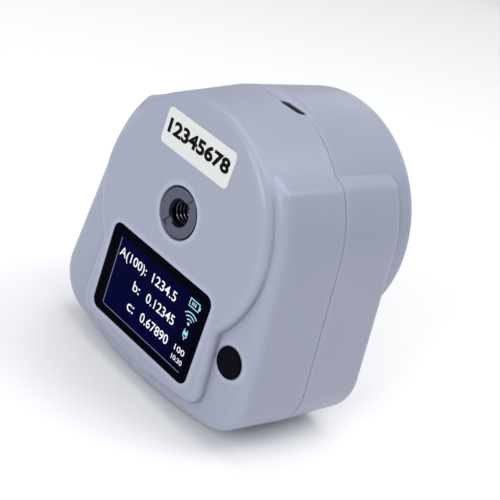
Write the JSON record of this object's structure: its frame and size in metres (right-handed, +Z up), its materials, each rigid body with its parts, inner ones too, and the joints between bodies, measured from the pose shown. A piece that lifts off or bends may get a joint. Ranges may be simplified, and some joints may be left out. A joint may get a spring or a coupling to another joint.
{
  "type": "colorimeter",
  "caption": "Tripod-mounted display colorimeter: round measuring barrel on a flared lower housing, with a rear screen, a push button and a threaded tripod bush.",
  "frame": {"origin": "middle of the footprint, at the lowest line of the gently crowned underside", "axes": "+Z up, +Y from the screen towards the measuring barrel, +X to the right as seen from the screen side"},
  "size_m": [0.0824, 0.0556, 0.0868],
  "materials": {
    "shell": "satin moulded",
    "steel": "bright",
    "bush": "dark, turned",
    "brass": "turned",
    "hood": "matt black",
    "tube": "black anodised",
    "lens": "coated",
    "filter": "polished",
    "board": "solder mask",
    "chip": "moulded",
    "carrier": "moulded",
    "plug": "moulded",
    "wire": "insulated",
    "flex": "polyimide",
    "seal": "foam",
    "lcd": "lit",
    "window": "black bordered",
    "button": "matt black",
    "cell": "pouch",
    "label": "paper film"
  },
  "bodies": {
    "housing": {"aperture_stop": "tube", "battery_cell": "cell", "battery_connector": "plug", "battery_cradle": "carrier", "battery_leads": "wire", "battery_pad": "seal", "board_header": "chip", "board_screws": "steel", "board_standoffs": "brass", "bridge_screws": "steel", "colour_sensor": "chip", "display_board": "board", "display_window": "window", "front_hood": "hood", "front_shell": "shell", "lcd_carrier": "carrier", "lcd_flex": "flex", "lcd_gasket": "seal", "lcd_panel": "lcd", "lens_barrel": "tube", "lens_barrel_screws": "steel", "lens_retaining_ring": "tube", "lens_washer": "seal", "main_board": "board", "nut_bridge": "steel", "objective_lens": "lens", "optical_filter": "filter", "processor": "chip", "radio_module": "chip", "rear_shell": "shell", "sensor_board": "board", "sensor_board_screws": "steel", "sensor_connector": "chip", "serial_label": "label", "shell_screws": "steel", "tact_switch": "chip", "threaded_inserts": "brass", "tripod_bush": "bush", "tripod_nut": "brass", "usb_receptacle": "steel", "usb_tongue": "carrier", "window_tape": "seal"},
    "button": {"power_button": "button", "switch_plunger": "chip"}
  },
  "joints": [
    {"name": "button_press", "type": "slide", "parent": "housing", "child": "button", "axis": [0, 1, 0], "range_m": [0, 0.0006], "stiffness_N_per_m": 1000}
  ]
}
